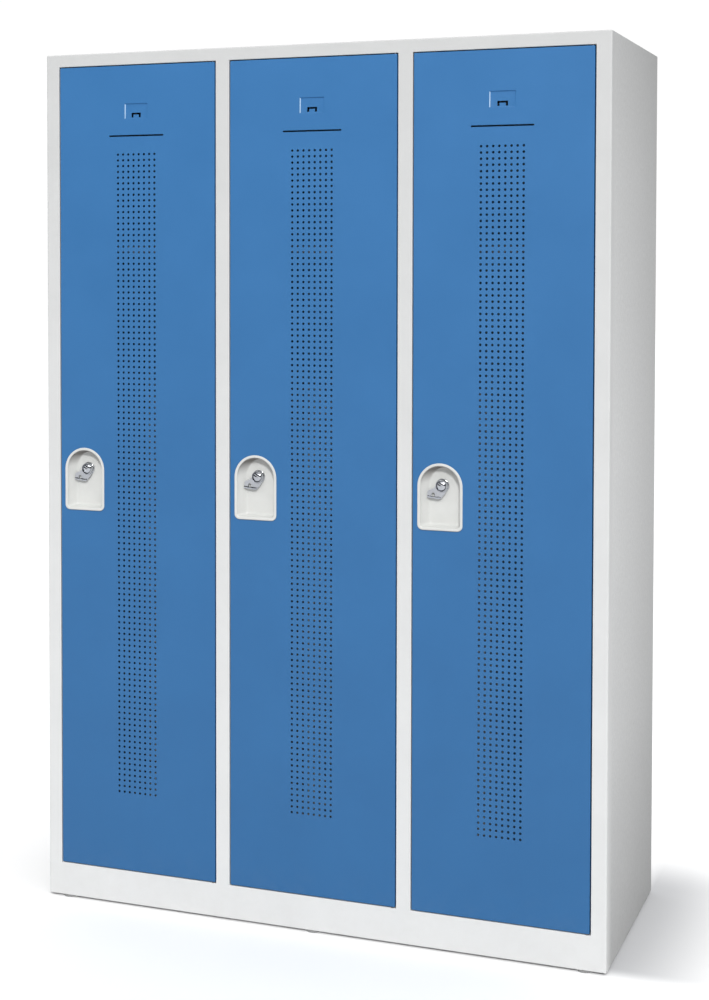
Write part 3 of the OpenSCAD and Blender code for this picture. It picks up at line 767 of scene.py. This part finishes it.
# outline of the lever's plate: distance down along the slanted foot, and across it
plateOutline = (
    (-2, -12.0), (3, -12.6), (6.5, -15.0), (9.0, -19.4), (11.0, -23.4), (12.8, -25.9), (15.0, -26.8),
    (24.6, -26.8), (25.5, -25.8), (25.5, -4.0), (24.4, -0.4), (21.4, 3.4), (17.0, 6.8), (11.0, 9.9),
    (5.0, 12.0), (0, 12.8), (-5, 11.6), (-9.8, 7.9), (-12.3, 2.5), (-12.3, -2.5), (-9.8, -7.9),
    (-5.8, -11.0),
)


# Turns a profile of radius and depth about an axis that points at the viewer
def lathe(shape, cx, cz, profile, steps=56):
    loops = []
    for radius, depth in profile:
        if radius < 1e-7:
            loops.append([shape.verts.new((cx, frontY + depth * mm, cz))])
            continue
        ring = [(cx + radius * mm * math.cos(2 * math.pi * k / steps),
                 cz + radius * mm * math.sin(2 * math.pi * k / steps)) for k in range(steps)]
        loops.append(addLoop(shape, ring, depth * mm))
    for near, far in zip(loops, loops[1:]):
        if len(near) == len(far):
            bridge(shape, [near, far])
        else:
            tip, ring = (near[0], far) if len(near) == 1 else (far[0], near)
            for k in range(len(ring)):
                shape.faces.new((tip, ring[k], ring[(k + 1) % len(ring)]))


def makeRosette(cx, cz):
    shape = bmesh.new()
    lathe(shape, cx, cz, rosetteProfile)
    tidyFaces(shape, 1e-6)
    return meshFrom("rosette", shape)


def makeLever(cx, cz):
    s = lockSizes
    shape = bmesh.new()
    rim = s["capRadius"]
    cap = [(rim, 9.0), (rim - 0.3, 7.6), (rim - 0.8, 7.0), (rim - 1.4, 6.9), (rim - 2.0, 7.5),
           (rim - 2.2, 9.6), (s["dome"], 9.7)]
    for k in range(9):
        radius = s["dome"] - (s["dome"] - s["rivet"]) * k / 8
        cap.append((radius, s["domeTop"] + s["domeSag"] * (radius / s["dome"]) ** 2))
    rivetTop = s["domeTop"] - s["rivetRise"]
    cap += [(s["rivet"] - 0.1, rivetTop + 0.2), (s["rivet"] - 0.4, rivetTop), (0, rivetTop)]
    lathe(shape, cx, cz, list(shaftProfile) + [(rim, 13.5)] + cap)
    tidyFaces(shape, 1e-6)
    hub = newPiece("leverHub", meshFrom("leverHub", shape))
    tilt = math.radians(s["footAngle"] - s["angle"])
    eyeDown, eyeAcross = s["eyeAt"] * math.cos(tilt), -s["eyeAt"] * math.sin(tilt)
    eye = [((eyeDown + s["eyeRadius"] * math.cos(math.pi * k / 12)) * mm,
            (eyeAcross + s["eyeRadius"] * math.sin(math.pi * k / 12)) * mm) for k in range(24)]
    arm = bmesh.new()
    addSheet(arm, [[(w * mm, t * mm) for w, t in plateOutline], eye], materials["latch_chrome"])
    # the plate is cut across where it bends, then bent forwards and laid along the foot's direction
    bend, radius, turn = s["bendAt"] * mm, s["bendRadius"] * mm, math.radians(s["bendTurn"])
    for k in range(7):
        cut = bend + radius * turn * k / 6
        bmesh.ops.bisect_plane(arm, geom=arm.verts[:] + arm.edges[:] + arm.faces[:], dist=1e-7,
                               plane_co=(cut, 0, 0), plane_no=(1, 0, 0))
    angle = math.radians(s["footAngle"])
    for vert in arm.verts:
        down, across, out = vert.co.x, vert.co.z, 0.0
        over = down - bend
        if over > 0:
            part = min(over / radius, turn)
            rest = max(over - radius * turn, 0)
            down = bend + radius * math.sin(part) + rest * math.cos(turn)
            out = radius * (1 - math.cos(part)) + rest * math.sin(turn)
        vert.co = (cx + down * math.cos(angle) - across * math.sin(angle),
                   frontY + s["armDepth"] * mm - out,
                   cz + down * math.sin(angle) + across * math.cos(angle))
    tidyFaces(arm, 1e-6)
    sheet = newPiece("leverArm", meshFrom("leverArm", arm))
    thicken(sheet, s["plate"] * mm)
    bevel = sheet.modifiers.new("edge", "BEVEL")
    bevel.width = s["plateEdge"] * mm
    bevel.segments = 2
    bevel.limit_method = "ANGLE"
    bevel.angle_limit = math.radians(50)
    applyModifiers(sheet)
    both = bmesh.new()
    both.from_mesh(hub.data)
    both.from_mesh(sheet.data)
    for loose in (hub, sheet):
        bpy.data.objects.remove(loose)
    return meshFrom("lever", both)


for side in sideNames:
    low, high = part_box("lock_rosette_" + side)
    spot = ((low.x + high.x) / 2, (low.z + high.z) / 2)
    rosette = newPiece("lockRosette_" + side, makeRosette(*spot))
    smoothPiece(rosette, 40)
    fitPiece(rosette, "latch_chrome", "door_" + side, ["lock_rosette_" + side])
    lever = newPiece("lockLever_" + side, makeLever(*spot))
    smoothPiece(lever, 40)
    fitPiece(lever, "latch_chrome", "latch_" + side, ["lock_lever_" + side])
print("locks made")


# Side and top skins, flush with the frame's flanges
skinSizes = {"sheet": 1.0, "rearFold": 0.6, "rearReturn": 14.0, "topFold": 2.0, "topDrop": 10.0}


# A quarter turn inside an outer corner, as a list of points
def cornerArc(x, y, radius, steps=5):
    turns = [math.pi / 2 * k / steps for k in range(steps + 1)]
    return [(x - radius + radius * math.cos(turn), y - radius + radius * math.sin(turn)) for turn in turns]


# Faces between two rows of points. They look along the cross product of the way along a row and the
# way from the first row to the second
def stripMesh(name, near, far):
    shape = bmesh.new()
    first, second = [[shape.verts.new(point) for point in row] for row in (near, far)]
    for k in range(len(first) - 1):
        shape.faces.new((first[k], first[k + 1], second[k + 1], second[k]))
    return meshFrom(name, shape)


def makeSideSkin(side):
    s = inMetres(skinSizes)
    sign = -1 if side == "left" else 1
    low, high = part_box("side_panel_" + side)
    edge, startY = highCorner.x, frontY + frameSizes["flange"] * mm
    path = [(edge, startY)] + cornerArc(edge, high.y, s["rearFold"]) + [(edge - s["rearReturn"], high.y)]
    foot, head = [[(sign * x, y, z) for x, y in path] for z in (low.z, highCorner.z - s["topDrop"])]
    mesh = stripMesh("sideSkin", foot, head)
    if side == "left":
        mesh.flip_normals()
    return mesh


for side in ("left", "right"):
    skin = newPiece("sideSkin_" + side, makeSideSkin(side))
    thicken(skin, skinSizes["sheet"] * mm)
    smoothPiece(skin)
    fitPiece(skin, "cabinet_paint", "carcass", ["side_panel_" + side])


def makeTopSkin():
    s = inMetres(skinSizes)
    edge, top = highCorner.x, highCorner.z
    half = [(edge, top - s["topDrop"])] + cornerArc(edge, top, s["topFold"])
    path = half + [(-x, z) for x, z in reversed(half)]
    front, rear = frontY + frameSizes["flange"] * mm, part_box("top_panel")[1].y
    return stripMesh("topSkin", [(x, rear, z) for x, z in path], [(x, front, z) for x, z in path])


topSkin = newPiece("topSkin", makeTopSkin())
thicken(topSkin, skinSizes["sheet"] * mm)
smoothPiece(topSkin)
fitPiece(topSkin, "cabinet_paint", "carcass", ["top_panel"])
print("skins made")


# Floor in metres: its size, and a soft shade beside and behind the cabinet
floorSizes = {
    "size": 60.0, "shadeReach": 0.26, "shade": 0.64, "shadeFromX": 0.6, "shadeRearY": 0.26,
    "shadeFrontY": -0.2, "frontFade": 4.0, "shadeColour": (0.30, 0.305, 0.32),
    "bounce": (0.66, 0.66, 0.665),
}


def makeFloor():
    f = floorSizes
    shape = bmesh.new()
    half = f["size"] / 2
    corners = ((-half, -half), (half, -half), (half, half), (-half, half))
    shape.faces.new([shape.verts.new((x, y, 0)) for x, y in corners])
    floor = newPiece("floorStage", meshFrom("floor", shape))
    material = bpy.data.materials.new("paleFloor")
    tree, shader, place = clearNodes(material)
    speck = noiseNode(tree, place, 3.0, 4.0)
    path = tree.nodes.new("ShaderNodeLightPath")
    seen = mixColour(tree, speck, rgb(0.955, 0.955, 0.955), rgb(0.97, 0.97, 0.97))
    split = tree.nodes.new("ShaderNodeSeparateXYZ")
    tree.links.new(place, split.inputs[0])
    # distance from the cabinet's right edge, which grows faster in front of it
    aside = minus(tree, split.outputs["X"], f["shadeFromX"])
    ahead = times(tree, minus(tree, f["shadeFrontY"], split.outputs["Y"]), f["frontFade"])
    behind = mathNode(tree, "MAXIMUM", minus(tree, split.outputs["Y"], f["shadeRearY"]), ahead)
    behind = mathNode(tree, "MAXIMUM", behind, 0.0)
    reach = mathNode(tree, "SQRT", plus(tree, times(tree, aside, aside), times(tree, behind, behind)))
    fade = tree.nodes.new("ShaderNodeMapRange")
    fade.interpolation_type = "SMOOTHSTEP"
    for label, value in (("From Min", 0.0), ("From Max", f["shadeReach"]), ("To Min", f["shade"]),
                         ("To Max", 0.0)):
        fade.inputs[label].default_value = value
    tree.links.new(reach, fade.inputs["Value"])
    shade = times(tree, fade.outputs["Result"], remap(tree, aside, -0.05, 0.0, 0.0, 1.0))
    seen = mixColour(tree, shade, seen, rgb(*f["shadeColour"]))
    tree.links.new(mixColour(tree, path.outputs["Is Camera Ray"], rgb(*f["bounce"]), seen),
                   shader.inputs["Base Color"])
    shader.inputs["Roughness"].default_value = 0.9
    shader.inputs["Specular IOR Level"].default_value = 0.1
    floor.data.materials.append(material)


# Lamps: metres, watts for the area lamp, degrees for the sun's spread
lamps = {
    "keyPlace": (0.5, -3.5, 3.9), "keyTarget": (0.1, -0.25, 1.1), "keySize": (2.6, 1.6), "keyPower": 16,
    "frontFrom": (0.75, -2.0, 1.3), "frontStrength": 1.92, "frontSpread": 8,
}


def areaLight(name, place, target, size, power):
    light = bpy.data.lights.new(name, "AREA")
    light.shape = "RECTANGLE"
    light.size, light.size_y = size
    light.energy = power
    lamp = bpy.data.objects.new(name, light)
    lamp.location = place
    lamp.rotation_euler = (Vector(target) - Vector(place)).to_track_quat("-Z", "Y").to_euler()
    bpy.context.scene.collection.objects.link(lamp)


def sunLight(name, direction, strength, spread):
    light = bpy.data.lights.new(name, "SUN")
    light.energy = strength
    light.angle = math.radians(spread)
    lamp = bpy.data.objects.new(name, light)
    lamp.rotation_euler = Vector(direction).to_track_quat("Z", "Y").to_euler()
    bpy.context.scene.collection.objects.link(lamp)


# The room: what the camera sees, and the light it gives, from the floor up and from left to right
roomTones = {
    "seen": 1.02, "low": 0.17, "high": 1.36, "left": 0.74, "right": 1.10, "colour": (0.985, 0.99, 1.0),
    "bandsUp": 15.0, "bandsAcross": 5.0, "bandDark": 0.01, "bandBright": 1.3,
}


# White to the camera, soft grey as light, and dark and bright bands in reflections
def makeWorld():
    r = roomTones
    world = bpy.data.worlds.new("studio")
    bpy.context.scene.world = world
    world.use_nodes = True
    tree = world.node_tree
    tree.nodes.clear()
    output = tree.nodes.new("ShaderNodeOutputWorld")
    seen, room, choose = (tree.nodes.new(kind) for kind in
                          ("ShaderNodeBackground", "ShaderNodeBackground", "ShaderNodeMixShader"))
    path = tree.nodes.new("ShaderNodeLightPath")
    seen.inputs["Color"].default_value = rgb(1, 1, 1)
    seen.inputs["Strength"].default_value = r["seen"]
    coords = tree.nodes.new("ShaderNodeTexCoord")
    split = tree.nodes.new("ShaderNodeSeparateXYZ")
    tree.links.new(coords.outputs["Generated"], split.inputs[0])
    height = remap(tree, split.outputs["Z"], 0.0, 1.0, r["low"], r["high"])
    sideways = remap(tree, split.outputs["X"], -1.0, 1.0, r["left"], r["right"])
    soft = times(tree, height, sideways)
    bands = mathNode(tree, "SINE", plus(tree, times(tree, split.outputs["Z"], r["bandsUp"]),
                                        times(tree, split.outputs["X"], r["bandsAcross"])))
    mirrored = remap(tree, bands, 0.45, 0.8, r["bandDark"], r["bandBright"])
    strength = tree.nodes.new("ShaderNodeMix")
    tree.links.new(path.outputs["Is Glossy Ray"], strength.inputs[0])
    tree.links.new(soft, strength.inputs[2])
    tree.links.new(mirrored, strength.inputs[3])
    tree.links.new(strength.outputs[0], room.inputs["Strength"])
    room.inputs["Color"].default_value = rgb(*r["colour"])
    tree.links.new(path.outputs["Is Camera Ray"], choose.inputs[0])
    tree.links.new(room.outputs[0], choose.inputs[1])
    tree.links.new(seen.outputs[0], choose.inputs[2])
    tree.links.new(choose.outputs[0], output.inputs["Surface"])


# Metres and degrees, lens and sensor in millimetres
cameraView = {
    "place": (1.2623, -3.6850, 1.3745), "tilt": 88.0, "turn": 22.0, "lens": 65.6, "sensor": 36.0,
    "shiftX": 0.101, "shiftY": -0.18,
}


def makeCamera():
    c = cameraView
    data = bpy.data.cameras.new("camera")
    data.sensor_width = c["sensor"]
    data.lens = c["lens"]
    data.shift_x, data.shift_y = c["shiftX"], c["shiftY"]
    camera = bpy.data.objects.new("camera", data)
    camera.location = c["place"]
    camera.rotation_euler = (math.radians(c["tilt"]), 0, math.radians(c["turn"]))
    bpy.context.scene.collection.objects.link(camera)
    bpy.context.scene.camera = camera


makeFloor()
makeWorld()
makeCamera()
areaLight("keyLight", lamps["keyPlace"], lamps["keyTarget"], lamps["keySize"], lamps["keyPower"])
sunLight("frontLight", lamps["frontFrom"], lamps["frontStrength"], lamps["frontSpread"])
bpy.context.scene.view_settings.view_transform = "Standard"
print("stage made")
